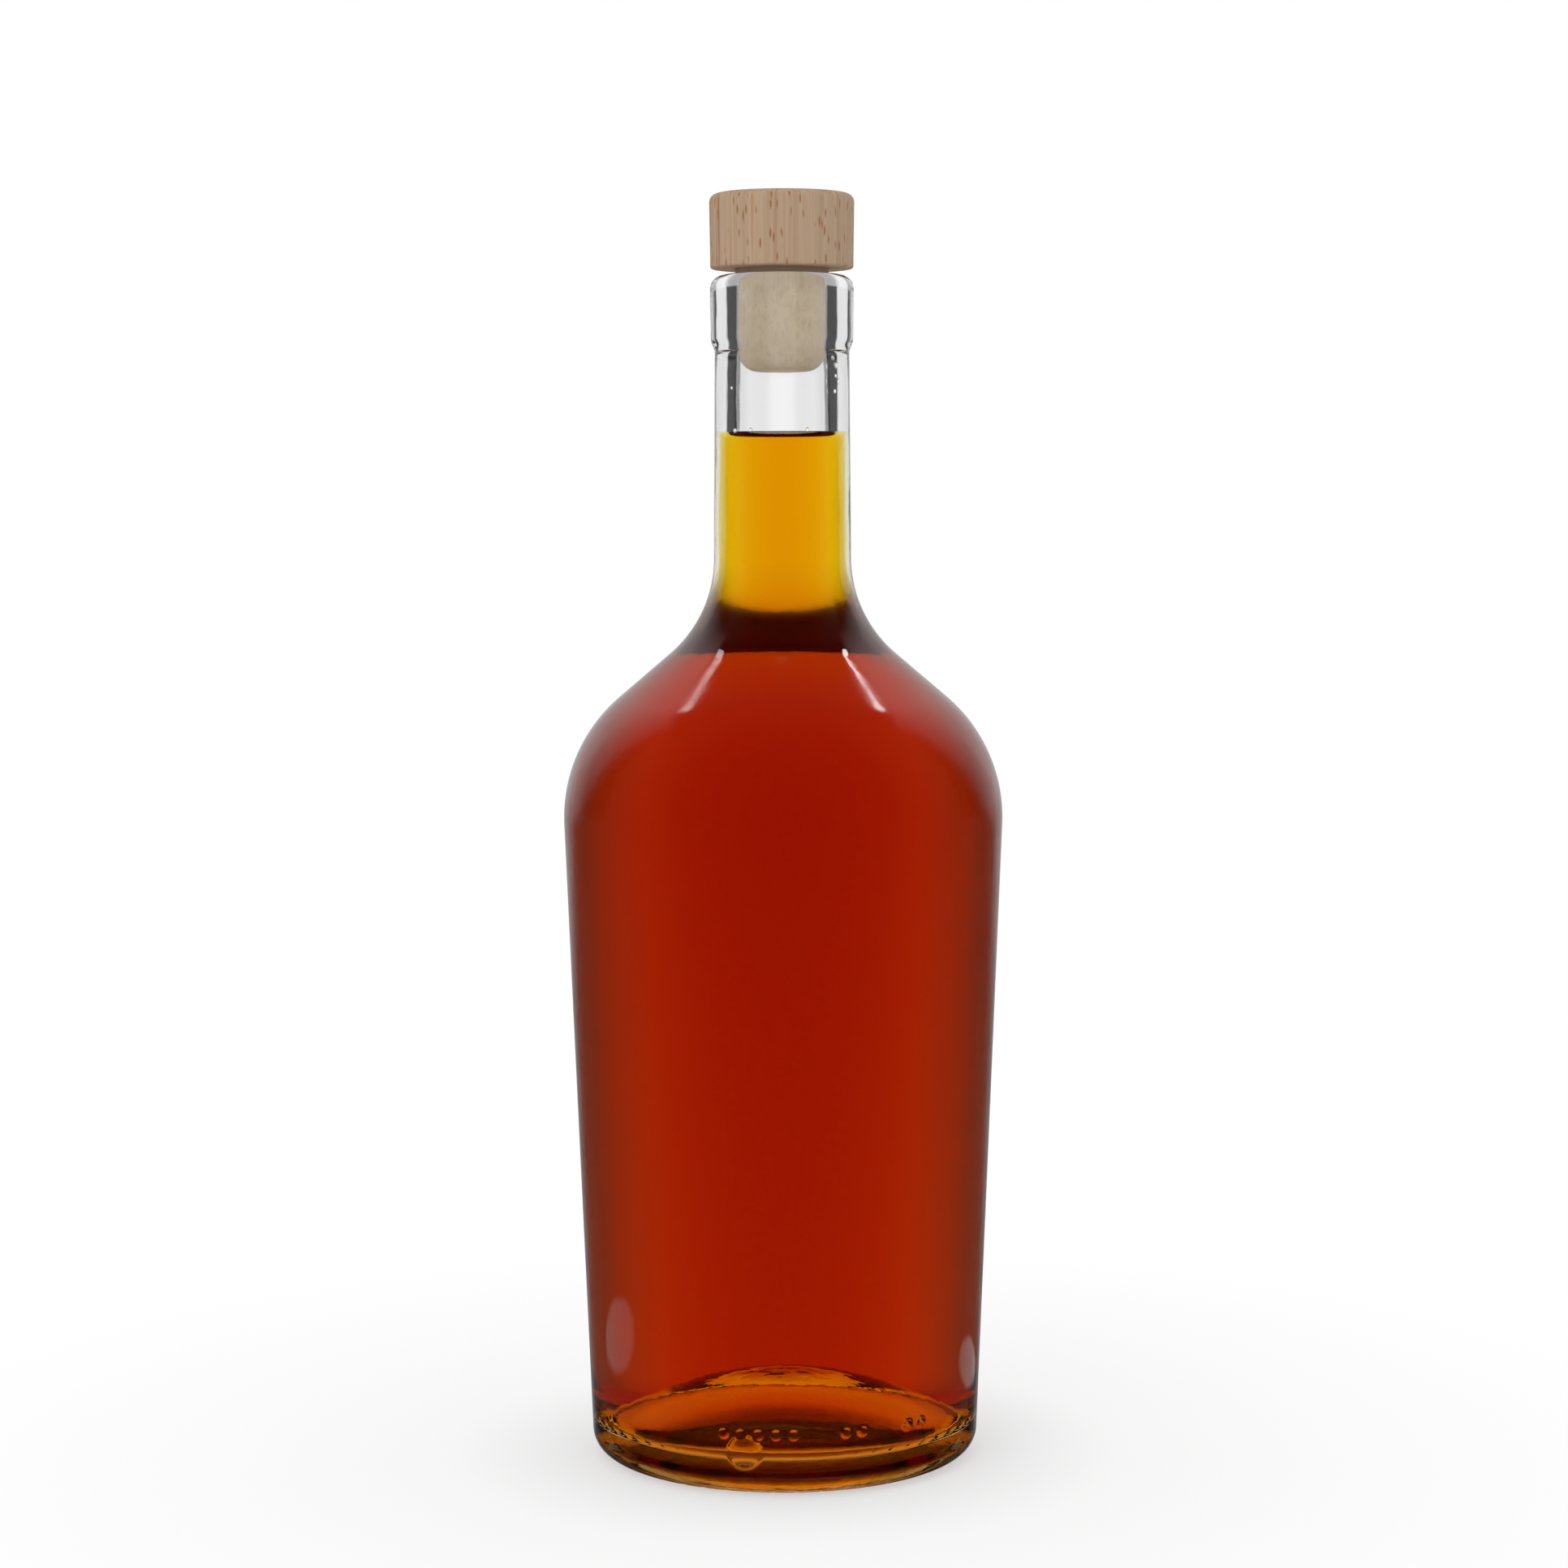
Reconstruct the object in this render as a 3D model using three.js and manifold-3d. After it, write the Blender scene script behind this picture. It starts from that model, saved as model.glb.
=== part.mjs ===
// A clear glass spirit bottle, filled to the middle of its neck and closed with a push-in stopper.
// Millimetres, +Z up. The origin is the centre of the ring that the bottle stands on, and -Y is the front.
import * as THREE from "three";
import { mergeVertices } from "three/addons/utils/BufferGeometryUtils.js";
import Module from "manifold-3d";

const radians = THREE.MathUtils.degToRad;

// Glass, outside
const BODY_RADIUS = 45.1; // the widest place, under the shoulder
const SHOULDER_HEIGHT = 132; // height of the widest place
const BODY_TAPER = radians(2.34); // the body narrows towards the base
const SHOULDER_ARC = 32.3;
const SLOPE = radians(49.5); // straight slope above the shoulder, from the vertical
const NECK_ARC = 25.8; // hollow arc from the slope into the neck
const NECK_RADIUS = 14.06; // at the foot of the neck
const NECK_TAPER = radians(0.43); // the neck narrows upwards
const HEEL_ARC = 5;

// Base
const BEARING_WIDTH = 4.5; // ring that the bottle stands on
const PUNT_HEIGHT = 12.5; // push-up under the base
const GROOVE_COUNT = 48; // grooves across the bearing ring
const GROOVE_WIDTH = 1.9;
const GROOVE_DEPTH = 0.45;

// Finish: the thick ring around the mouth
const FINISH_HEIGHT = 15.5; // from the foot of its lower step to the lip
const FINISH_TOP = 242.6; // height of the lip
const FINISH_RADIUS = 14.65;
const FINISH_TAPER = 0.12; // the ring is this much narrower at its lower edge
const STEP_HEIGHT = 2.3; // chamfer under the ring
const LIP_ARC = 2.8; // outer rounding of the lip
const MOUTH_ARC = 1.2; // inner rounding of the lip
const MOUTH_RADIUS = 9.05; // bore that the stopper fits

// Glass, inside
const BODY_WALL = 4.3;
const NECK_WALL = 4.4;
const MOUTH_BLEND = 8; // height over which the neck's bore narrows to the mouth
const MOUTH_DEPTH = 13; // straight bore under the lip
const FLOOR_HEIGHT = 6; // lowest ring of the inner floor
const FLOOR_ARC = 6; // inner corner between wall and floor
const FLOOR_SLOPE = radians(44); // slope of the domed floor where it runs into that corner

// Small raised marks on the heel, at the front
const DOT_RADIUS = 1.15;
const DOT_PROUD = 0.55;
const DOT_HEIGHT = 12.8;
const DOT_PITCH = radians(5);
const DOT_STEPS = [-3.5, -2.5, -1.5, -0.5, 0.5, 3.5, 4.5, 7.5, 8.5]; // places in pitches from the front
const LUG_RADIUS = 3.6; // round locating lug under the dots
const LUG_PROUD = 0.8;
const LUG_HEIGHT = 9.2;
const LUG_STEP = -2.3;

// Liquid
const HEADSPACE = 13.8; // air in the neck between the liquid and the plug
const LIQUID_GAP = 0.3;
const MENISCUS_HEIGHT = 1.5; // the liquid climbs the glass by this much
const MENISCUS_REACH = 1; // and falls off over about this distance

// Stopper
const PLUG_CLEARANCE = 0.15; // around the plug in the mouth
const PLUG_DEPTH = 19.5; // below the lip
const PLUG_ARC = 4; // rounding of its lower edge
const SHANK_EXTRA = 0.6; // the uncompressed shank is this much larger in radius than the plug in the mouth
const SHANK_TAPER = 1.3; // height of the cone between the two
const SHANK_LIFT = 0.3; // top of that cone above the lip
const HEAD_LIFT = 1.3; // gap between lip and head
const HEAD_RADIUS = 14.75;
const HEAD_TAPER = 0.15; // the head is this much narrower at its lower edge
const HEAD_HEIGHT = 15.1;
const HEAD_TOP_ARC = 1.7;
const HEAD_LOWER_ARC = 0.5;
const SOCKET_DEPTH = 7; // blind hole in the head that the shank is glued into
const GLUE_GAP = 0.15;

// Facets
const SEGMENTS = 48; // around every turned piece
const SHOULDER_STEPS = 8; // along each arc of the shoulder
const CORNER_STEPS = 4;
const FLOOR_CORNER_STEPS = 6;
const DOME_STEPS = 6;
const BLEND_STEPS = 5;
const BALL_SEGMENTS = 10;
const MENISCUS_SHARES = [0, 0.3, 0.75, 1.4, 2.3]; // distances from the glass, in reaches

const plugRadius = MOUTH_RADIUS - PLUG_CLEARANCE;
const shankRadius = plugRadius + SHANK_EXTRA;
const fillHeight = FINISH_TOP - PLUG_DEPTH - HEADSPACE;
const quarter = Math.PI / 2;

function arc(centreR, centreZ, radius, from, to, steps) {
  const points = [];
  for (let i = 0; i <= steps; i++) {
    const angle = from + ((to - from) * i) / steps;
    points.push([centreR + radius * Math.cos(angle), centreZ + radius * Math.sin(angle)]);
  }
  return points;
}

// A parabola, level on the axis, down to its foot.
function dome(topZ, footR, footZ, steps) {
  const points = [];
  for (let i = 0; i <= steps; i++) {
    const share = i / steps;
    points.push([footR * share, topZ + (footZ - topZ) * share ** 2]);
  }
  return points;
}

// Radius of the tapering body at a height, measured a wall's thickness in from the outer surface.
function bodyRadius(height, inset) {
  const startR = BODY_RADIUS - SHOULDER_ARC * (1 - Math.cos(BODY_TAPER));
  const startZ = SHOULDER_HEIGHT - SHOULDER_ARC * Math.sin(BODY_TAPER);
  return startR - (startZ - height) * Math.tan(BODY_TAPER) - inset / Math.cos(BODY_TAPER);
}

// The straight slope ends where the hollow arc begins, and both follow from the body and the neck.
const slopeRun =
  BODY_RADIUS -
  NECK_RADIUS -
  SHOULDER_ARC * (1 - Math.cos(SLOPE)) -
  NECK_ARC * (Math.cos(NECK_TAPER) - Math.cos(SLOPE));
const slopeRise = slopeRun / Math.tan(SLOPE);
const neckFoot =
  SHOULDER_HEIGHT +
  SHOULDER_ARC * Math.sin(SLOPE) +
  slopeRise +
  NECK_ARC * (Math.sin(SLOPE) - Math.sin(NECK_TAPER));

function neckRadius(height, inset) {
  return NECK_RADIUS - (height - neckFoot) * Math.tan(NECK_TAPER) - inset;
}

// Shoulder, slope and hollow arc, from the body up to the neck, at an inset from the outer surface.
function shoulder(bodyInset, neckInset) {
  const shoulderR = BODY_RADIUS - SHOULDER_ARC;
  const radius = SHOULDER_ARC - bodyInset;
  const points = [
    ...arc(shoulderR, SHOULDER_HEIGHT, radius, -BODY_TAPER, 0, 1).slice(0, 1),
    ...arc(shoulderR, SHOULDER_HEIGHT, radius, 0, SLOPE, SHOULDER_STEPS),
  ];
  const centreR = NECK_RADIUS + NECK_ARC * Math.cos(NECK_TAPER);
  const centreZ = neckFoot + NECK_ARC * Math.sin(NECK_TAPER);
  for (let i = 0; i <= SHOULDER_STEPS; i++) {
    const share = i / SHOULDER_STEPS;
    const angle = SLOPE + (NECK_TAPER - SLOPE) * share;
    const reach = NECK_ARC + bodyInset + (neckInset - bodyInset) * share;
    points.push([centreR - reach * Math.cos(angle), centreZ - reach * Math.sin(angle)]);
  }
  return points;
}

// Corner and domed floor of the hollow, from the axis out to the wall.
function hollowFloor(inset) {
  const radius = FLOOR_ARC - inset;
  const centreZ = FLOOR_HEIGHT + FLOOR_ARC;
  const centreR = bodyRadius(centreZ, BODY_WALL) - FLOOR_ARC / Math.cos(BODY_TAPER);
  const footR = centreR - radius * Math.sin(FLOOR_SLOPE);
  const footZ = centreZ - radius * Math.cos(FLOOR_SLOPE);
  const topZ = footZ + (footR * Math.tan(FLOOR_SLOPE)) / 2;
  return [
    ...dome(topZ, footR, footZ, DOME_STEPS).slice(0, -1),
    ...arc(centreR, centreZ, radius, -quarter - FLOOR_SLOPE, -BODY_TAPER, FLOOR_CORNER_STEPS),
  ];
}

function bottleProfile() {
  const heelR = bodyRadius(HEEL_ARC, 0) - HEEL_ARC / Math.cos(BODY_TAPER);
  const finishFoot = FINISH_TOP - FINISH_HEIGHT;
  const lipZ = FINISH_TOP - LIP_ARC;
  const mouthR = MOUTH_RADIUS + MOUTH_ARC;
  const mouthFoot = FINISH_TOP - MOUTH_DEPTH;
  const blendFoot = mouthFoot - MOUTH_BLEND;
  const neckBore = neckRadius(blendFoot, NECK_WALL);
  const mouthBlend = [];
  for (let i = 0; i <= BLEND_STEPS; i++) {
    const share = i / BLEND_STEPS;
    const widen = (1 - Math.cos(Math.PI * share)) / 2;
    mouthBlend.push([MOUTH_RADIUS + (neckBore - MOUTH_RADIUS) * widen, mouthFoot - MOUTH_BLEND * share]);
  }
  return [
    ...dome(PUNT_HEIGHT, heelR - BEARING_WIDTH, 0, DOME_STEPS),
    ...arc(heelR, HEEL_ARC, HEEL_ARC, -quarter, -BODY_TAPER, CORNER_STEPS),
    ...shoulder(0, 0),
    [neckRadius(finishFoot, 0), finishFoot],
    [FINISH_RADIUS - FINISH_TAPER, finishFoot + STEP_HEIGHT],
    ...arc(FINISH_RADIUS - LIP_ARC, lipZ, LIP_ARC, 0, quarter, CORNER_STEPS),
    ...arc(mouthR, FINISH_TOP - MOUTH_ARC, MOUTH_ARC, quarter, 2 * quarter, CORNER_STEPS),
    ...mouthBlend,
    ...shoulder(BODY_WALL, NECK_WALL).reverse(),
    ...hollowFloor(0).reverse(),
  ];
}

function liquidProfile() {
  const edge = neckRadius(fillHeight, NECK_WALL + LIQUID_GAP);
  const surface = [];
  for (const share of MENISCUS_SHARES) {
    const rise = MENISCUS_HEIGHT * Math.exp(-share);
    surface.push([edge - share * MENISCUS_REACH, fillHeight + rise]);
  }
  return [
    ...hollowFloor(LIQUID_GAP),
    ...shoulder(BODY_WALL + LIQUID_GAP, NECK_WALL + LIQUID_GAP),
    ...surface,
    [0, fillHeight],
  ];
}

// The head stands on its local origin, the centre of its underside.
function headProfile() {
  const socket = shankRadius + GLUE_GAP;
  const lowerR = HEAD_RADIUS - HEAD_TAPER - HEAD_LOWER_ARC;
  const upperZ = HEAD_HEIGHT - HEAD_TOP_ARC;
  return [
    [0, SOCKET_DEPTH],
    [socket, SOCKET_DEPTH],
    [socket, 0],
    ...arc(lowerR, HEAD_LOWER_ARC, HEAD_LOWER_ARC, -quarter, 0, CORNER_STEPS),
    ...arc(HEAD_RADIUS - HEAD_TOP_ARC, upperZ, HEAD_TOP_ARC, 0, quarter, CORNER_STEPS),
    [0, HEAD_HEIGHT],
  ];
}

// The plug hangs from the same origin: the lip is HEAD_LIFT below it.
function plugProfile() {
  const bottom = -HEAD_LIFT - PLUG_DEPTH;
  const coneTop = -HEAD_LIFT + SHANK_LIFT;
  return [
    [0, bottom],
    ...arc(plugRadius - PLUG_ARC, bottom + PLUG_ARC, PLUG_ARC, -quarter, 0, CORNER_STEPS),
    [plugRadius, coneTop - SHANK_TAPER],
    [shankRadius, coneTop],
    [shankRadius, SOCKET_DEPTH - GLUE_GAP],
    [0, SOCKET_DEPTH - GLUE_GAP],
  ];
}

function turned(profile) {
  const points = profile.map(([r, z]) => new THREE.Vector2(Math.max(r, 0), z));
  return new THREE.LatheGeometry(points, SEGMENTS).rotateX(quarter);
}

const wasm = await Module();
wasm.setup();

function toSolid(geometry) {
  const bare = geometry.clone();
  bare.deleteAttribute("normal");
  bare.deleteAttribute("uv");
  const merged = mergeVertices(bare, 1e-4);
  return new wasm.Manifold(
    new wasm.Mesh({
      numProp: 3,
      vertProperties: merged.attributes.position.array,
      triVerts: new Uint32Array(merged.index.array),
    }),
  );
}

function toGeometry(solid) {
  const mesh = solid.getMesh();
  const geometry = new THREE.BufferGeometry();
  geometry.setAttribute("position", new THREE.BufferAttribute(mesh.vertProperties, 3));
  geometry.setIndex(new THREE.BufferAttribute(mesh.triVerts, 1));
  geometry.computeVertexNormals();
  return geometry;
}

// A round swelling on the wall: a squashed ball whose centre lies on the outer surface.
function swelling(radius, proud, angle, height) {
  const centreR = bodyRadius(height, 0);
  return new THREE.SphereGeometry(radius, BALL_SEGMENTS, BALL_SEGMENTS / 2)
    .scale(1, proud / radius, 1)
    .rotateZ(angle)
    .translate(centreR * Math.sin(angle), -centreR * Math.cos(angle), height);
}

// One V-shaped groove across the bearing ring and the foot of the heel.
function groove(angle) {
  const outline = new THREE.Shape();
  outline.moveTo(-GROOVE_WIDTH, -GROOVE_DEPTH);
  outline.lineTo(GROOVE_WIDTH, -GROOVE_DEPTH);
  outline.lineTo(0, GROOVE_DEPTH);
  outline.closePath();
  const length = BEARING_WIDTH + HEEL_ARC;
  const inner = bodyRadius(HEEL_ARC, 0) - length;
  return new THREE.ExtrudeGeometry(outline, { depth: length, bevelEnabled: false })
    .rotateX(quarter)
    .translate(0, -inner, 0)
    .rotateZ(angle);
}

function bottleGeometry() {
  let solid = toSolid(turned(bottleProfile()));
  for (const step of DOT_STEPS) {
    solid = solid.add(toSolid(swelling(DOT_RADIUS, DOT_PROUD, step * DOT_PITCH, DOT_HEIGHT)));
  }
  solid = solid.add(toSolid(swelling(LUG_RADIUS, LUG_PROUD, LUG_STEP * DOT_PITCH, LUG_HEIGHT)));
  const turn = (2 * Math.PI) / GROOVE_COUNT;
  for (let i = 0; i < GROOVE_COUNT; i++) {
    solid = solid.subtract(toSolid(groove((i + 0.5) * turn)));
  }
  return toGeometry(solid);
}

function piece(name, geometry, material) {
  const mesh = new THREE.Mesh(geometry, new THREE.MeshStandardMaterial(material));
  mesh.name = name;
  return mesh;
}

const glassLook = { color: 0xe8ecea, roughness: 0.05, metalness: 0, transparent: true, opacity: 0.35 };
const liquidLook = { color: 0x9a1b00, roughness: 0.05, metalness: 0, transparent: true, opacity: 0.85 };
const beechLook = { color: 0xc9a37c, roughness: 0.65, metalness: 0 };
const corkLook = { color: 0xb7a68c, roughness: 0.7, metalness: 0 };

const stopper = new THREE.Group();
stopper.position.z = FINISH_TOP + HEAD_LIFT;
stopper.add(piece("stopper_head", turned(headProfile()), beechLook));
stopper.add(piece("stopper_plug", turned(plugProfile()), corkLook));

const part = new THREE.Group();
part.add(piece("bottle", bottleGeometry(), glassLook));
part.add(piece("liquid", turned(liquidProfile()), liquidLook));
part.add(stopper);

export default part;
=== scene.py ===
import math

import bpy
from mathutils import Matrix, Vector


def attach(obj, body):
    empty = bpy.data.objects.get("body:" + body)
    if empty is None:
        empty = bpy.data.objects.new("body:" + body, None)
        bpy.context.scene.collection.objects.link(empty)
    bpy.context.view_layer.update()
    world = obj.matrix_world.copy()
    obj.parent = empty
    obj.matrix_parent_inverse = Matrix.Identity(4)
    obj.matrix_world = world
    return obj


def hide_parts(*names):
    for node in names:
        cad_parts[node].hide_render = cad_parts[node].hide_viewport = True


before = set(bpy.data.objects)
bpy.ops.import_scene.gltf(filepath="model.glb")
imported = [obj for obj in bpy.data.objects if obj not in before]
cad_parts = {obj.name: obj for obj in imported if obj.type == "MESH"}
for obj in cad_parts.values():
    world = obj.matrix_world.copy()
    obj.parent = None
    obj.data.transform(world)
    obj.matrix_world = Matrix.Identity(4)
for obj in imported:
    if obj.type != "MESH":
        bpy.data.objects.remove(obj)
bpy.context.scene.view_settings.view_transform = "Standard"
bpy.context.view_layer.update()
scene = bpy.context.scene
MM = 0.001
QUARTER = math.pi / 2

# Body and neck, in millimetres
BODY_RADIUS = 45.1
SHOULDER_HEIGHT = 132.0
BODY_TAPER = math.radians(2.34)
SHOULDER_ARC = 32.3
SLOPE = math.radians(49.5)
NECK_ARC = 25.8
NECK_RADIUS = 14.06
NECK_TAPER = math.radians(0.43)
BODY_WALL = 4.3
NECK_WALL = 4.4

# Base: heel, bearing ring with its grooves, push-up and inner floor
HEEL_ARC = 5.0
BEARING_WIDTH = 4.5
PUNT_HEIGHT = 12.5
GROOVE_COUNT = 48
GROOVE_HALF = 0.95
GROOVE_DEPTH = 0.45
FLOOR_HEIGHT = 6.0
FLOOR_ARC = 6.0
FLOOR_SLOPE = math.radians(44)

# Thick ring around the mouth, and its bore
FINISH_HEIGHT = 15.5
FINISH_TOP = 242.6
FINISH_RADIUS = 14.65
FINISH_TAPER = 0.12
STEP_HEIGHT = 2.3
LIP_ARC = 2.8
MOUTH_ARC = 1.2
MOUTH_RADIUS = 9.05
MOUTH_BLEND = 8.0
MOUTH_DEPTH = 13.0

# Moulded dots and lug on the heel
DOT_RADIUS = 1.15
DOT_PROUD = 0.55
DOT_HEIGHT = 12.8
DOT_PITCH = math.radians(5)
DOT_STEPS = [-3.5, -2.5, -1.5, -0.5, 0.5, 3.5, 4.5, 7.5, 8.5]
LUG_RADIUS = 3.6
LUG_PROUD = 0.8
LUG_HEIGHT = 9.2
LUG_STEP = -2.3
MARKS_ABOVE = 2

# Spirit
PLUG_DEPTH = 19.5
HEADSPACE = 13.8
FILL_HEIGHT = FINISH_TOP - PLUG_DEPTH - HEADSPACE
MENISCUS_HEIGHT = 1.5
MENISCUS_REACH = 1.0
CONTACT = FILL_HEIGHT + MENISCUS_HEIGHT
LIQUID_OVERLAP = 0.15

# Stopper
PLUG_CLEARANCE = 0.15
PLUG_RADIUS = MOUTH_RADIUS - PLUG_CLEARANCE
PLUG_ARC = 4.0
SHANK_STEP = 0.6
SHANK_RADIUS = PLUG_RADIUS + SHANK_STEP
SHANK_TAPER = 1.3
SHANK_LIFT = 0.3
HEAD_LIFT = 1.3
HEAD_BASE = FINISH_TOP + HEAD_LIFT
HEAD_RADIUS = 14.75
HEAD_TAPER = 0.15
HEAD_HEIGHT = 15.1
HEAD_TOP_ARC = 1.7
HEAD_LOWER_ARC = 0.5
SOCKET_DEPTH = 7.0
SOCKET_EDGE = 0.15
GLUE_GAP = 0.15

# Rows and sides of the meshes, and how far a supporting row stands from an edge
PUNT_STEPS = 24
HEEL_STEPS = 16
MARKS_STEPS = 36
EASED_STEPS = 12
OUTER_SHOULDER_STEPS = (28, 26)
INNER_SHOULDER_STEPS = (20, 18)
LIQUID_SHOULDER_STEPS = (22, 20)
FLOOR_STEPS = (22, 18)
MENISCUS_STEPS = 14
LIQUID_SIDES = 192
STOPPER_SIDES = 128
NEAR = 0.1
STRAIGHT_TOP = 110


# Profiles, as lists of radius and height
def arc(centre_r, centre_z, radius, start, end, steps):
    points = []
    for i in range(steps + 1):
        angle = start + (end - start) * i / steps
        points.append((centre_r + radius * math.cos(angle), centre_z + radius * math.sin(angle)))
    return points


def line(r0, z0, r1, z1, steps):
    return [(r0 + (r1 - r0) * i / steps, z0 + (z1 - z0) * i / steps) for i in range(steps + 1)]


def eased(share):
    return (1 - math.cos(math.pi * share)) / 2


def step_out(r0, z0, r1, z1, steps):
    """A radius that eases from r0 to r1 while the height changes evenly."""
    shares = [i / steps for i in range(steps + 1)]
    return [(r0 + (r1 - r0) * eased(share), z0 + (z1 - z0) * share) for share in shares]


def swell(r0, z0, r1, z1, steps):
    """A height that eases from z0 to z1 while the radius changes evenly."""
    shares = [i / steps for i in range(steps + 1)]
    return [(r0 + (r1 - r0) * share, z0 + (z1 - z0) * eased(share)) for share in shares]


def dome(top, foot_r, foot_z, steps):
    return [(foot_r * i / steps, top + (foot_z - top) * (i / steps) ** 2) for i in range(steps + 1)]


def body_radius(height, inset=0.0):
    start_r = BODY_RADIUS - SHOULDER_ARC * (1 - math.cos(BODY_TAPER))
    start_z = SHOULDER_HEIGHT - SHOULDER_ARC * math.sin(BODY_TAPER)
    return start_r - (start_z - height) * math.tan(BODY_TAPER) - inset / math.cos(BODY_TAPER)


SLOPE_RUN = (
    BODY_RADIUS
    - NECK_RADIUS
    - SHOULDER_ARC * (1 - math.cos(SLOPE))
    - NECK_ARC * (math.cos(NECK_TAPER) - math.cos(SLOPE))
)
NECK_FOOT = (
    SHOULDER_HEIGHT
    + SHOULDER_ARC * math.sin(SLOPE)
    + SLOPE_RUN / math.tan(SLOPE)
    + NECK_ARC * (math.sin(SLOPE) - math.sin(NECK_TAPER))
)


def neck_radius(height, inset=0.0):
    return NECK_RADIUS - (height - NECK_FOOT) * math.tan(NECK_TAPER) - inset


def body_line(low, high, steps):
    return line(body_radius(low), low, body_radius(high), high, steps)


def neck_line(start, end, inset, steps):
    return line(neck_radius(start, inset), start, neck_radius(end, inset), end, steps)


def shoulder(body_inset, neck_inset, steps):
    """From the widest part of the body over the slope to the foot of the neck."""
    low_steps, high_steps = steps
    centre = BODY_RADIUS - SHOULDER_ARC
    radius = SHOULDER_ARC - body_inset
    points = arc(centre, SHOULDER_HEIGHT, radius, -BODY_TAPER, 0, 1)[:1]
    points += arc(centre, SHOULDER_HEIGHT, radius, 0, SLOPE, low_steps)
    centre_r = NECK_RADIUS + NECK_ARC * math.cos(NECK_TAPER)
    centre_z = NECK_FOOT + NECK_ARC * math.sin(NECK_TAPER)
    for i in range(high_steps + 1):
        share = i / high_steps
        angle = SLOPE + (NECK_TAPER - SLOPE) * share
        reach = NECK_ARC + body_inset + (neck_inset - body_inset) * share
        points.append((centre_r - reach * math.cos(angle), centre_z - reach * math.sin(angle)))
    return points


def hollow_floor(inset):
    """Domed floor of the hollow from the axis out, and its corner up to the wall."""
    corner_steps, dome_steps = FLOOR_STEPS
    radius = FLOOR_ARC - inset
    centre_z = FLOOR_HEIGHT + FLOOR_ARC
    centre_r = body_radius(centre_z, BODY_WALL) - FLOOR_ARC / math.cos(BODY_TAPER)
    foot_r = centre_r - radius * math.sin(FLOOR_SLOPE)
    foot_z = centre_z - radius * math.cos(FLOOR_SLOPE)
    top = foot_z + foot_r * math.tan(FLOOR_SLOPE) / 2
    points = dome(top, foot_r, foot_z, dome_steps)[:-1]
    return points + arc(centre_r, centre_z, radius, -QUARTER - FLOOR_SLOPE, -BODY_TAPER, corner_steps)


def bottle_profile():
    """Outer surface from the punt to the lip, then the inner one down to the floor.

    Also gives the rows where the heel, the plain wall and the wetted bore begin.
    """
    heel_r = body_radius(HEEL_ARC) - HEEL_ARC / math.cos(BODY_TAPER)
    bearing_r = heel_r - BEARING_WIDTH
    marks_foot = HEEL_ARC + NEAR
    marks_top = DOT_HEIGHT + MARKS_ABOVE
    points = dome(PUNT_HEIGHT, bearing_r, 0, PUNT_STEPS)
    points += line(bearing_r, 0, heel_r, 0, 4)[1:-1]
    heel_start = len(points)
    points += arc(heel_r, HEEL_ARC, HEEL_ARC, -QUARTER, -BODY_TAPER, HEEL_STEPS)
    points += body_line(marks_foot, marks_top, MARKS_STEPS)
    marks_end = len(points)
    points += body_line(marks_top + 4, STRAIGHT_TOP, 5)
    points += shoulder(0, 0, OUTER_SHOULDER_STEPS)
    finish_foot = FINISH_TOP - FINISH_HEIGHT
    points += neck_line(NECK_FOOT + 8, finish_foot - 1, 0, 4)
    step_low = finish_foot - 0.3
    step_high = finish_foot + STEP_HEIGHT + 0.3
    rim_r = FINISH_RADIUS - FINISH_TAPER
    points += step_out(neck_radius(finish_foot), step_low, rim_r, step_high, EASED_STEPS)
    lip_foot = FINISH_TOP - LIP_ARC
    points += [(rim_r + 0.01, step_high + 0.9), (FINISH_RADIUS, lip_foot - 0.6)]
    points += arc(FINISH_RADIUS - LIP_ARC, lip_foot, LIP_ARC, 0, QUARTER, 14)
    mouth_top = FINISH_TOP - MOUTH_ARC
    points += arc(MOUTH_RADIUS + MOUTH_ARC, mouth_top, MOUTH_ARC, QUARTER, 2 * QUARTER, 8)
    mouth_foot = FINISH_TOP - MOUTH_DEPTH
    points += [(MOUTH_RADIUS, mouth_top - 0.3), (MOUTH_RADIUS, mouth_foot + 0.5)]
    blend_foot = mouth_foot - MOUTH_BLEND
    bore = neck_radius(blend_foot, NECK_WALL)
    points += step_out(MOUTH_RADIUS, mouth_foot, bore, blend_foot, EASED_STEPS)
    wet_start = len(points)
    points += neck_line(CONTACT, NECK_FOOT + 6, NECK_WALL, 1)
    points += shoulder(BODY_WALL, NECK_WALL, INNER_SHOULDER_STEPS)[::-1]
    points += hollow_floor(0)[::-1]
    return points, heel_start, marks_end, wet_start


def liquid_profile(overlap):
    """The hollow up to the line of contact, then the edge that climbs the glass and the level top."""
    inset = NECK_WALL - overlap
    points = hollow_floor(-overlap)
    points += shoulder(BODY_WALL - overlap, inset, LIQUID_SHOULDER_STEPS)
    points += neck_line(NECK_FOOT + 4, CONTACT - NEAR, inset, 4)
    bore = neck_radius(FILL_HEIGHT, NECK_WALL)
    edge = 0.02
    points += [(bore + overlap, CONTACT - edge), (bore + overlap - edge, CONTACT), (bore + edge, CONTACT)]
    for i in range(MENISCUS_STEPS + 1):
        share = 3.2 * (i / MENISCUS_STEPS) ** 1.6
        points.append((bore - share * MENISCUS_REACH, FILL_HEIGHT + MENISCUS_HEIGHT * math.exp(-share)))
    points += line(bore - 4.5 * MENISCUS_REACH, FILL_HEIGHT, 0, FILL_HEIGHT, 3)
    return points


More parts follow.
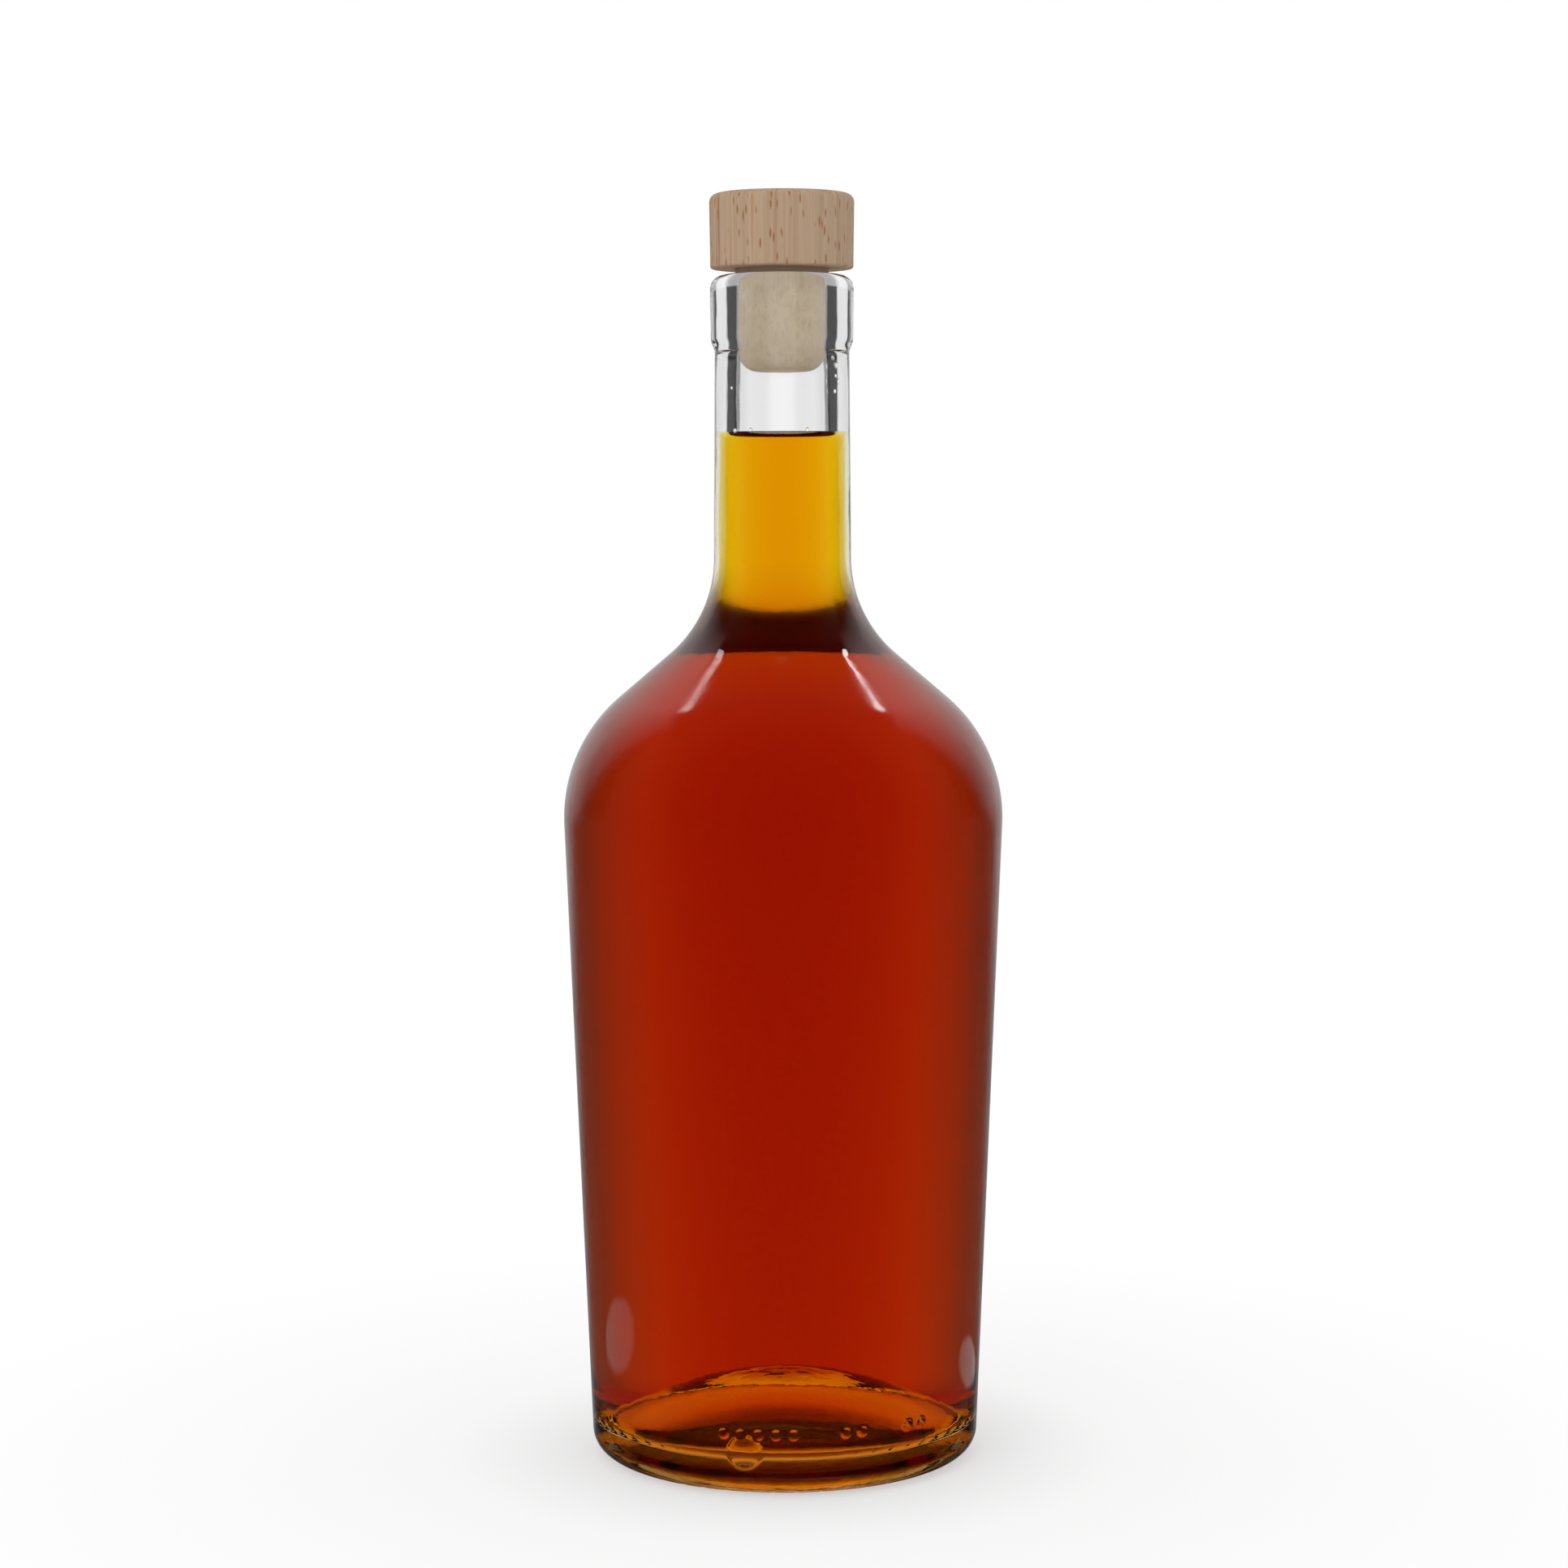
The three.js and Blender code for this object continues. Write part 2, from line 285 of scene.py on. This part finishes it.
def head_profile():
    socket = SHANK_RADIUS + GLUE_GAP
    lower_r = HEAD_RADIUS - HEAD_TAPER - HEAD_LOWER_ARC
    top_r = HEAD_RADIUS - HEAD_TOP_ARC
    top_z = HEAD_HEIGHT - HEAD_TOP_ARC
    points = [(0, SOCKET_DEPTH), (socket - 0.05, SOCKET_DEPTH), (socket, SOCKET_DEPTH - 0.05)]
    points += [(socket, SOCKET_EDGE), (socket + SOCKET_EDGE, 0)]
    points += line(socket + 0.6, 0, lower_r - 0.2, 0, 2)
    points += arc(lower_r, HEAD_LOWER_ARC, HEAD_LOWER_ARC, -QUARTER, 0, 6)
    points += line(lower_r + HEAD_LOWER_ARC, 2, HEAD_RADIUS, top_z - 0.6, 6)
    points += arc(top_r, top_z, HEAD_TOP_ARC, 0, QUARTER, 10)
    points += line(top_r - 0.6, HEAD_HEIGHT, 0, HEAD_HEIGHT, 6)
    return [(r, z + HEAD_BASE) for r, z in points]


def plug_profile():
    bottom = -HEAD_LIFT - PLUG_DEPTH
    cone_top = -HEAD_LIFT + SHANK_LIFT
    cone_foot = cone_top - SHANK_TAPER
    shank_top = SOCKET_DEPTH - GLUE_GAP
    points = line(0, bottom, PLUG_RADIUS - PLUG_ARC - 0.4, bottom, 3)
    points += arc(PLUG_RADIUS - PLUG_ARC, bottom + PLUG_ARC, PLUG_ARC, -QUARTER, 0, 10)
    points += line(PLUG_RADIUS, bottom + PLUG_ARC + 1, PLUG_RADIUS, cone_foot - 0.2, 4)
    points += swell(PLUG_RADIUS, cone_foot, SHANK_RADIUS, cone_top, 6)
    points += [(SHANK_RADIUS, 0), (SHANK_RADIUS, shank_top - NEAR)]
    points += [(SHANK_RADIUS - NEAR, shank_top), (0, shank_top)]
    return [(r, z + HEAD_BASE) for r, z in points]


# Meshes
def new_object(name, points, faces, smooth):
    mesh = bpy.data.meshes.new(name)
    mesh.from_pydata(points, [], faces)
    mesh.update()
    mesh.polygons.foreach_set("use_smooth", smooth)
    obj = bpy.data.objects.new(name, mesh)
    scene.collection.objects.link(obj)
    return obj


def turned(name, profile, angles, shape=None):
    """A surface of revolution about Z, and the row of each face.

    Angles run from the front, -Y, towards +X.
    """
    points = []
    rings = []
    for index, (r, z) in enumerate(profile):
        if r < 1e-6:
            rings.append([len(points)])
            points.append((0.0, 0.0, z * MM))
            continue
        ring = []
        for angle in angles:
            rr, zz = shape(index, r, z, angle) if shape else (r, z)
            ring.append(len(points))
            points.append((rr * math.sin(angle) * MM, -rr * math.cos(angle) * MM, zz * MM))
        rings.append(ring)
    faces = []
    rows = []
    count = len(angles)
    for index in range(len(rings) - 1):
        low, high = rings[index], rings[index + 1]
        for i in range(count):
            j = (i + 1) % count
            if len(low) == 1:
                faces.append((low[0], high[j], high[i]))
            elif len(high) == 1:
                faces.append((low[i], low[j], high[0]))
            else:
                faces.append((low[i], low[j], high[j], high[i]))
            rows.append(index)
    return new_object(name, points, faces, [True] * len(faces)), rows


def even(count):
    return [2 * math.pi * i / count for i in range(count)]


def marked_angles():
    """Close together where the heel marks are, and in step with the grooves elsewhere."""
    fine_from, fine_to, fine_step, step = -20.25, 47.25, 0.45, 1.5
    fine = round((fine_to - fine_from) / fine_step)
    rest = round((360 - (fine_to - fine_from)) / step)
    angles = [fine_from + fine_step * i for i in range(fine)]
    angles += [fine_to + step * i for i in range(rest)]
    return [math.radians(a) for a in angles]


MARKS = [(step * DOT_PITCH, DOT_HEIGHT, DOT_RADIUS, DOT_PROUD) for step in DOT_STEPS]
MARKS.append((LUG_STEP * DOT_PITCH, LUG_HEIGHT, LUG_RADIUS, LUG_PROUD))
GROOVE_INNER = body_radius(HEEL_ARC) - HEEL_ARC - BEARING_WIDTH - 0.01
profile, heel_row, marks_row, wet_row = bottle_profile()


def bottle_shape(index, r, z, angle):
    """Raises the dots and the lug out of the heel, and cuts the grooves up into the bearing ring."""
    if heel_row <= index < marks_row:
        proud = 0.0
        for mark_angle, mark_z, radius, height in MARKS:
            across = (angle - mark_angle) * r
            q = (across * across + (z - mark_z) ** 2) / (radius * radius)
            if q < 1:
                proud = max(proud, height * math.sqrt(1 - q))
        r += proud
    if index < marks_row and z < GROOVE_DEPTH and r > GROOVE_INNER:
        pitch = 2 * math.pi / GROOVE_COUNT
        off = abs((angle / pitch) % 1 - 0.5) * pitch * r
        z = max(z, GROOVE_DEPTH * (1 - off / GROOVE_HALF))
    return r, z


# Condensed drops on the bore, to the right above the liquid, and bubbles at its edge:
# degrees from the front, height, radius
DROPS = [
    (66, 225.6, 0.42),
    (72, 224.1, 0.62),
    (70, 222.0, 0.36),
    (76, 220.9, 0.5),
    (68, 218.9, 0.42),
    (-64, 219.6, 0.3),
]
BUBBLES = [(-58, 211.0, 0.45), (-36, 211.1, 0.35), (28, 211.1, 0.4)]
BEAD_RINGS = 7
BEAD_SIDES = 14
BEAD_SINK = 0.03
BEAD_FLAT = 0.7
BEAD_TALL = 1.15


def beads(name, places):
    """Flattened half balls that sit on the bore."""
    points, faces = [], []
    for degrees, height, radius in places:
        angle = math.radians(degrees)
        wall = neck_radius(height, NECK_WALL) + BEAD_SINK
        out = Vector((math.sin(angle), -math.cos(angle), 0))
        across = Vector((math.cos(angle), math.sin(angle), 0))
        centre = out * wall + Vector((0, 0, height))
        first = len(points)
        for i in range(BEAD_RINGS + 1):
            lean = QUARTER * i / BEAD_RINGS
            for j in range(BEAD_SIDES):
                turn = 2 * math.pi * j / BEAD_SIDES
                side = across * math.cos(turn) + Vector((0, 0, BEAD_TALL * math.sin(turn)))
                inward = out * radius * BEAD_FLAT * math.sin(lean)
                points.append(tuple((centre + side * radius * math.cos(lean) - inward) * MM))
        for i in range(BEAD_RINGS):
            for j in range(BEAD_SIDES):
                k = (j + 1) % BEAD_SIDES
                low, high = first + i * BEAD_SIDES, first + (i + 1) * BEAD_SIDES
                faces.append((low + k, low + j, high + j, high + k))
        faces.append(tuple(first + j for j in range(BEAD_SIDES)))
    return new_object(name, points, faces, [len(face) == 4 for face in faces])


# Pieces
bottle, bottle_rows = turned("bottle_glass", profile, marked_angles(), bottle_shape)
liquid, _ = turned("liquid_fill", liquid_profile(LIQUID_OVERLAP), even(LIQUID_SIDES))
head, _ = turned("stopper_head_beech", head_profile(), even(STOPPER_SIDES))
plug, _ = turned("stopper_plug_cork", plug_profile(), even(STOPPER_SIDES))
drops = beads("neck_drops", DROPS + BUBBLES)
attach(drops, "bottle")
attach(bottle, "bottle")
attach(liquid, "bottle")
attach(head, "stopper")
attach(plug, "stopper")
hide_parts("bottle")
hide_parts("liquid")
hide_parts("stopper_head")
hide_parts("stopper_plug")


# Material nodes
def new_material(name):
    material = bpy.data.materials.new(name)
    material.use_nodes = True
    tree = material.node_tree
    return material, tree, tree.nodes["Principled BSDF"]


def node(tree, kind, **values):
    made = tree.nodes.new(kind)
    for key, value in values.items():
        setattr(made, key, value)
    return made


def join(tree, value, socket):
    """Links a socket, or sets a number or a colour."""
    if isinstance(value, bpy.types.NodeSocket):
        tree.links.new(value, socket)
    elif isinstance(value, (int, float)):
        socket.default_value = value
    else:
        socket.default_value = (*value, 1)


def object_place(tree):
    return node(tree, "ShaderNodeTexCoord").outputs["Object"]


def object_axes(tree):
    made = node(tree, "ShaderNodeSeparateXYZ")
    tree.links.new(object_place(tree), made.inputs[0])
    return made.outputs


def mapped(tree, scale):
    mapping = node(tree, "ShaderNodeMapping")
    mapping.inputs["Scale"].default_value = scale
    tree.links.new(object_place(tree), mapping.inputs["Vector"])
    return mapping.outputs["Vector"]


def noise(tree, vector, scale, detail, rough):
    made = node(tree, "ShaderNodeTexNoise")
    made.inputs["Scale"].default_value = scale
    made.inputs["Detail"].default_value = detail
    made.inputs["Roughness"].default_value = rough
    tree.links.new(vector, made.inputs["Vector"])
    return made.outputs["Fac"]


def ramp(tree, value, stops):
    """Colours by value. A stop is a place and a colour, or a place and a grey."""
    made = node(tree, "ShaderNodeValToRGB")
    elements = made.color_ramp.elements
    while len(elements) < len(stops):
        elements.new(0.5)
    for element, (position, colour) in zip(elements, stops):
        element.position = position
        element.color = (colour, colour, colour, 1) if isinstance(colour, (int, float)) else (*colour, 1)
    tree.links.new(value, made.inputs["Fac"])
    return made.outputs["Color"]


def mix(tree, factor, a, b, blend="MIX"):
    made = node(tree, "ShaderNodeMix", data_type="RGBA", blend_type=blend)
    for socket, value in ((made.inputs[0], factor), (made.inputs[6], a), (made.inputs[7], b)):
        join(tree, value, socket)
    return made.outputs[2]


def bump(tree, height, distance, strength, shader):
    made = node(tree, "ShaderNodeBump")
    made.inputs["Strength"].default_value = strength
    made.inputs["Distance"].default_value = distance
    tree.links.new(height, made.inputs["Height"])
    tree.links.new(made.outputs["Normal"], shader.inputs["Normal"])


def grey(value):
    return (value, value, value)


def linear(r, g, b):
    """Linear colour of an sRGB one from 0 to 255."""
    out = []
    for value in (r, g, b):
        v = value / 255
        out.append(v / 12.92 if v <= 0.04045 else ((v + 0.055) / 1.055) ** 2.4)
    return tuple(out)


def measured(tree, value, start, end, low, high):
    """Straight change from low to high as the value goes from start to end."""
    made = node(tree, "ShaderNodeMapRange")
    for key, number in (("From Min", start), ("From Max", end), ("To Min", low), ("To Max", high)):
        made.inputs[key].default_value = number
    tree.links.new(value, made.inputs["Value"])
    return made.outputs[0]


def maths(tree, operation, *values):
    made = node(tree, "ShaderNodeMath", operation=operation)
    for socket, value in zip(made.inputs, values):
        join(tree, value, socket)
    return made.outputs[0]


def clear_material(name, index, tint):
    """A clear refracting material. The tint scales its mirror reflection."""
    material, tree, shader = new_material(name)
    shader.inputs["Base Color"].default_value = (1, 1, 1, 1)
    shader.inputs["Roughness"].default_value = 0.0
    shader.inputs["IOR"].default_value = index
    shader.inputs["Transmission Weight"].default_value = 1.0
    shader.inputs["Specular Tint"].default_value = (*grey(tint), 1)
    return material, tree, shader


# Glass: wavy all over, with painted amber light in its colour near the base, and hazy on the slope of the
# shoulder
GLASS_INDEX = 1.52
PAINTED_BASE_LIGHT = (0.92, 0.60, 0.26)
PAINTED_LIGHT_HEIGHT = 0.02
FRONT_HAZE = 0.13
UPPER_HAZE = 0.02
REAR_HAZE = 0.2
HAZE_LOW, HAZE_HIGH = 0.14, 0.20
HAZE_ZONE = [(0.12, 0.0), (0.3, 1.0), (0.7, 1.0), (0.8, 0.0)]
HAZE_FADES = (0.160, 0.168)
REAR_DEPTH = 0.012


def glass_material(name, tint, hazy):
    material, tree, shader = clear_material(name, GLASS_INDEX, tint)
    if hazy:
        slope_z = measured(tree, object_axes(tree)["Z"], HAZE_LOW, HAZE_HIGH, 0.0, 1.0)
        zone = ramp(tree, slope_z, HAZE_ZONE)
        front = measured(tree, object_axes(tree)["Z"], *HAZE_FADES, FRONT_HAZE, UPPER_HAZE)
        side = measured(tree, object_axes(tree)["Y"], 0.0, REAR_DEPTH, 0.0, 1.0)
        amount = maths(tree, "MULTIPLY_ADD", side, maths(tree, "SUBTRACT", REAR_HAZE, front), front)
        rough = maths(tree, "MULTIPLY", zone, amount)
        tree.links.new(rough, shader.inputs["Roughness"])
    # Painted light: the glass turns amber in its lowest 6 to 11 mm, standing in for the amber light that
    # passes through its base
    low = measured(tree, object_axes(tree)["Z"], 0.0, PAINTED_LIGHT_HEIGHT, 0.0, 1.0)
    base_light = ramp(tree, low, [(0.3, PAINTED_BASE_LIGHT), (0.55, 1.0)])
    tree.links.new(base_light, shader.inputs["Base Color"])
    waves = noise(tree, mapped(tree, (1, 1, 0.35)), 150, 3.0, 0.5)
    bump(tree, waves, 0.00025, 0.3, shader)
    return material


glass = glass_material("flint_glass_clear", 1, True)
wet_glass = glass_material("flint_glass_wet", 0, False)

# Spirit, and the drops above it
SPIRIT_INDEX = 1.36
SPIRIT_COLOUR = (0.97667, 0.89667, 0.0, 1)
SPIRIT_DENSITY = 600.0
DROP_INDEX = 1.34
spirit, tree, shader = clear_material("amber_spirit", SPIRIT_INDEX, 0)
absorb = node(tree, "ShaderNodeVolumeAbsorption")
absorb.inputs["Color"].default_value = SPIRIT_COLOUR
absorb.inputs["Density"].default_value = SPIRIT_DENSITY
tree.links.new(absorb.outputs["Volume"], tree.nodes["Material Output"].inputs["Volume"])
water, tree, shader = clear_material("clear_drops", DROP_INDEX, 1)

# Beech: upright grain, darker growth lines towards the left and short dark flecks
GRAIN_COLOURS = [
    (0.3, linear(172, 143, 115)),
    (0.5, linear(186, 157, 129)),
    (0.72, linear(197, 170, 143)),
]
GROWTH_COLOUR = linear(170, 112, 62)
FLECK_COLOUR = linear(160, 104, 58)
beech, tree, shader = new_material("turned_beech")
grain = noise(tree, mapped(tree, (900, 900, 14)), 1.0, 4.0, 0.6)
base = ramp(tree, grain, GRAIN_COLOURS)
edge = measured(tree, object_axes(tree)["X"], -0.0035, -0.0085, 0.1, 0.85)
streaks = noise(tree, mapped(tree, (1300, 1300, 6)), 1.0, 1.0, 0.5)
lines = mix(tree, 1.0, ramp(tree, streaks, [(0.57, 0.0), (0.66, 1.0)]), edge, "MULTIPLY")
base = mix(tree, lines, base, GROWTH_COLOUR)
cells = node(tree, "ShaderNodeTexVoronoi", feature="F1")
cells.inputs["Scale"].default_value = 1.0
cells.inputs["Randomness"].default_value = 1.0
tree.links.new(mapped(tree, (950, 950, 210)), cells.inputs["Vector"])
flecks = ramp(tree, cells.outputs["Distance"], [(0.14, 0.9), (0.27, 0.0)])
base = mix(tree, flecks, base, FLECK_COLOUR)
tree.links.new(base, shader.inputs["Base Color"])
shader.inputs["Roughness"].default_value = 0.55
shader.inputs["Specular IOR Level"].default_value = 0.3
bump(tree, grain, 0.00012, 0.35, shader)

# Cork: a soft mottle with fine pores, and painted shade on the collar that shows between glass and head
MOTTLE_COLOURS = [
    (0.3, linear(193, 174, 147)),
    (0.55, linear(203, 185, 158)),
    (0.75, linear(210, 194, 170)),
]
PORE_COLOUR = linear(150, 128, 100)
COLLAR_SHADE_COLOUR = linear(142, 120, 98)
COLLAR_SHADE_FROM, COLLAR_SHADE_TO = 0.2424, 0.2428
cork, tree, shader = new_material("synthetic_cork")
mottle = noise(tree, mapped(tree, (1, 1, 1)), 260, 4.0, 0.6)
fine = noise(tree, mapped(tree, (1, 1, 0.4)), 1500, 3.0, 0.6)
base = ramp(tree, mottle, MOTTLE_COLOURS)
base = mix(tree, ramp(tree, fine, [(0.35, 0.25), (0.5, 0.0)]), base, PORE_COLOUR)
# Painted shade: the cork is darker above the lip, where the head shades the collar in the gap
collar_shade = measured(tree, object_axes(tree)["Z"], COLLAR_SHADE_FROM, COLLAR_SHADE_TO, 0.0, 1.0)
base = mix(tree, collar_shade, base, COLLAR_SHADE_COLOUR)
tree.links.new(base, shader.inputs["Base Color"])
shader.inputs["Roughness"].default_value = 0.6
bump(tree, fine, 0.0001, 0.3, shader)

bottle.data.materials.append(glass)
bottle.data.materials.append(wet_glass)
bottle.data.polygons.foreach_set("material_index", [int(row >= wet_row) for row in bottle_rows])
liquid.data.materials.append(spirit)
drops.data.materials.append(water)
head.data.materials.append(beech)
plug.data.materials.append(cork)

# Camera
FOCAL_PIXELS = 4350
IMAGE_PIXELS = 1932
SENSOR_WIDTH = 36
CAMERA_PLACE = (0.00017, -0.725, 0.1947)
CAMERA_TILT = math.radians(4.42)
CAMERA_ROLL = math.radians(-0.15)
camera_data = bpy.data.cameras.new("camera")
camera_data.sensor_width = SENSOR_WIDTH
camera_data.lens = SENSOR_WIDTH * FOCAL_PIXELS / IMAGE_PIXELS
camera = bpy.data.objects.new("camera", camera_data)
scene.collection.objects.link(camera)
tilt = Matrix.Rotation(QUARTER - CAMERA_TILT, 4, "X")
camera.matrix_world = Matrix.Translation(CAMERA_PLACE) @ tilt @ Matrix.Rotation(CAMERA_ROLL, 4, "Z")
scene.camera = camera

# Floor: a white disc that keeps the shadow near the base
FLOOR_RADIUS = 0.26
FLOOR_SIDES = 96
FLOOR_DROP = 0.0002
FLOOR_SHADE = [(0.036, 0.5), (0.07, 0.22), (0.20, 0.0)]
UNDER_BASE = [(0.034, 1.0), (0.055, 0.0)]
PAINTED_AMBER_RING = [(0.022, 0.0), (0.028, 1.0), (0.046, 1.0), (0.055, 0.0)]
PAINTED_AMBER_GLOW = (0.62, 0.24, 0.03)
# Painted light: glowing spots on the floor, seen only in reflections
BRIGHT_SPOTS = [((-0.130, 0.018, 0.0), 0.032), ((0.090, 0.045, 0.0), 0.022)]
SPOT_LEVEL = 0.4
around = even(FLOOR_SIDES)
corners = [(FLOOR_RADIUS * math.cos(a), FLOOR_RADIUS * math.sin(a), 0) for a in around]
floor = new_object("floor", corners, [list(range(FLOOR_SIDES))], [False])
floor.location.z = -FLOOR_DROP


def mixed(tree, factor, a, b):
    made = node(tree, "ShaderNodeMixShader")
    for socket, value in zip(made.inputs, (factor, a, b)):
        tree.links.new(value, socket)
    return made.outputs[0]


def emission(tree, colour):
    made = node(tree, "ShaderNodeEmission")
    join(tree, colour, made.inputs["Color"])
    return made.outputs[0]


def passing(tree):
    return node(tree, "ShaderNodeBsdfTransparent").outputs[0]


def bright_spot(tree, centre, radius):
    away = node(tree, "ShaderNodeVectorMath", operation="DISTANCE")
    tree.links.new(object_place(tree), away.inputs[0])
    away.inputs[1].default_value = centre
    return measured(tree, away.outputs["Value"], radius * 1.1, radius * 0.85, 0.0, SPOT_LEVEL)


paper, tree, shader = new_material("floor_paper")
shader.inputs["Base Color"].default_value = (0.9, 0.9, 0.9, 1)
shader.inputs["Roughness"].default_value = 0.9
shader.inputs["Specular IOR Level"].default_value = 0.0
paper_light = shader.outputs[0]
path = node(tree, "ShaderNodeLightPath")
refracted = path.outputs["Is Transmission Ray"]
distance = node(tree, "ShaderNodeVectorMath", operation="LENGTH")
tree.links.new(object_place(tree), distance.inputs[0])
reach = distance.outputs["Value"]

# Seen directly it glows white with some lit paper near the base. Refracted rays pass it but for the
# base, where they meet paper inside a painted ring of glowing amber light that stands in for light
# through the spirit.
shown = mix(tree, refracted, ramp(tree, reach, FLOOR_SHADE), ramp(tree, reach, UNDER_BASE))
clear = mixed(tree, refracted, emission(tree, grey(1)), passing(tree))
seen = mixed(tree, shown, clear, paper_light)
# Painted light: a ring of floor under the base glows amber for refracted rays
ring = maths(tree, "MULTIPLY", refracted, ramp(tree, reach, PAINTED_AMBER_RING))
seen = mixed(tree, ring, seen, emission(tree, PAINTED_AMBER_GLOW))
direct = maths(tree, "ADD", path.outputs["Is Camera Ray"], refracted)
plain = mixed(tree, direct, paper_light, seen)

# Reflected rays pass it but for two painted glowing spots, which make the soft reflected ovals low on
# both sides
spots = maths(tree, "ADD", *[bright_spot(tree, centre, radius) for centre, radius in BRIGHT_SPOTS])
mirror = node(tree, "ShaderNodeAddShader")
tree.links.new(emission(tree, spots), mirror.inputs[0])
tree.links.new(passing(tree), mirror.inputs[1])
bounced = maths(tree, "SUBTRACT", path.outputs["Is Glossy Ray"], refracted)
bounced.node.use_clamp = True
final = mixed(tree, bounced, plain, mirror.outputs[0])
tree.links.new(final, tree.nodes["Material Output"].inputs["Surface"])
floor.data.materials.append(paper)


# Studio: white behind, with plain levels for refracted and reflected light by direction
def azimuth(tree, x, y):
    """0 straight ahead or behind, 1 to either side."""
    x, y = maths(tree, "ABSOLUTE", x), maths(tree, "ABSOLUTE", y)
    return maths(tree, "DIVIDE", maths(tree, "ARCTAN2", x, y), QUARTER)


SIDE_LEVELS = [(0.22, 1.0), (0.33, 0.72), (0.45, 0.45), (0.60, 0.40), (0.75, 0.40), (0.90, 0.55)]
PANEL_LEVELS = [(0.0, 0.93), (0.31, 0.82), (0.39, 0.04), (0.72, 0.04), (0.80, 0.45), (0.9, 0.6)]
ABOVE_LEVELS = [(0.40, 1.0), (0.60, 0.5), (1.0, 0.25)]
LIFT_LEVELS = [(0.42, 0.0), (0.5, 0.13), (0.88, 0.36), (0.97, 0.1)]
GLOSS_LEVELS = [(0.0, 0.012), (0.80, 0.02), (0.84, 0.08), (0.90, 0.33), (1.0, 0.65)]
LEVEL_FROM, LEVEL_TO = -0.06, -0.02
EMPTY_CROSSINGS = 4.5
GLOSS_TURN = 0.41
STUDIO_LEVEL = 0.75
INSIDE_LEVEL = 1.35

world = bpy.data.worlds.new("studio")
scene.world = world
world.use_nodes = True
tree = world.node_tree
tree.nodes.clear()
light = node(tree, "ShaderNodeLightPath")
parts = node(tree, "ShaderNodeSeparateXYZ")
tree.links.new(node(tree, "ShaderNodeTexCoord").outputs["Generated"], parts.inputs[0])
x, y, z = parts.outputs["X"], parts.outputs["Y"], parts.outputs["Z"]

# Refracted: grey to the sides, and dark panels for light that only crossed empty glass
crossings = light.outputs["Transmission Depth"]
sides = ramp(tree, azimuth(tree, x, y), SIDE_LEVELS)
panels = ramp(tree, azimuth(tree, x, y), PANEL_LEVELS)
empty = maths(tree, "LESS_THAN", crossings, EMPTY_CROSSINGS)
level = maths(tree, "MULTIPLY", empty, measured(tree, z, LEVEL_FROM, LEVEL_TO, 0.0, 1.0))
height = maths(tree, "DIVIDE", maths(tree, "ARCSINE", z), QUARTER)
above = ramp(tree, height, ABOVE_LEVELS)
through = mix(tree, 1.0, mix(tree, level, sides, panels), above, "MULTIPLY")

# Reflected: dark in front, bright behind
lift = ramp(tree, maths(tree, "MULTIPLY_ADD", z, 0.5, 0.5), LIFT_LEVELS)
behind = maths(tree, "ADD", maths(tree, "MULTIPLY_ADD", y, 0.5, GLOSS_TURN), lift)
reflected = ramp(tree, behind, GLOSS_LEVELS)

# Scattered light, a little stronger where it also crossed glass
spread = maths(tree, "GREATER_THAN", light.outputs["Diffuse Depth"], 0.5)
inside = maths(tree, "GREATER_THAN", crossings, 0.5)
diffuse = mix(tree, inside, grey(STUDIO_LEVEL), grey(INSIDE_LEVEL))
colour = mix(tree, light.outputs["Is Glossy Ray"], grey(STUDIO_LEVEL), reflected)
colour = mix(tree, light.outputs["Is Transmission Ray"], colour, through)
colour = mix(tree, spread, colour, diffuse)
colour = mix(tree, light.outputs["Is Camera Ray"], colour, grey(1.0))
shine = node(tree, "ShaderNodeBackground")
tree.links.new(colour, shine.inputs["Color"])
out = node(tree, "ShaderNodeOutputWorld")
tree.links.new(shine.outputs[0], out.inputs["Surface"])


# Lamps
def lamp(name, start, end, width, power, glossy=True):
    """A straight soft light between two points, facing the shoulder."""
    start, end = Vector(start), Vector(end)
    data = bpy.data.lights.new(name, "AREA")
    data.shape = "RECTANGLE"
    data.size, data.size_y = width, (end - start).length
    data.energy = power
    obj = bpy.data.objects.new(name, data)
    scene.collection.objects.link(obj)
    middle = (start + end) / 2
    along = (end - start).normalized()
    back = middle - Vector(LAMP_AIM)
    back = (back - along * back.dot(along)).normalized()
    turn = Matrix((along.cross(back), along, back)).transposed().to_4x4()
    obj.matrix_world = Matrix.Translation(middle) @ turn
    obj.visible_glossy = glossy
    obj.visible_transmission = False
    obj.visible_camera = False


LAMP_AIM = (0, 0, 0.16)
lamp("strip_right", (0.62, 0.34, 1.15), (0.62, 0.52, 1.33), 0.06, 0.5)
lamp("strip_left", (-0.62, 0.34, 1.15), (-0.62, 0.52, 1.33), 0.09, 0.3)
lamp("fill", (-1.0, -1.0, 0.9), (-0.2, -1.1, 0.9), 0.8, 4.0, glossy=False)

scene.cycles.max_bounces = 32
scene.cycles.transmission_bounces = 32
scene.cycles.glossy_bounces = 12
scene.cycles.transparent_max_bounces = 16
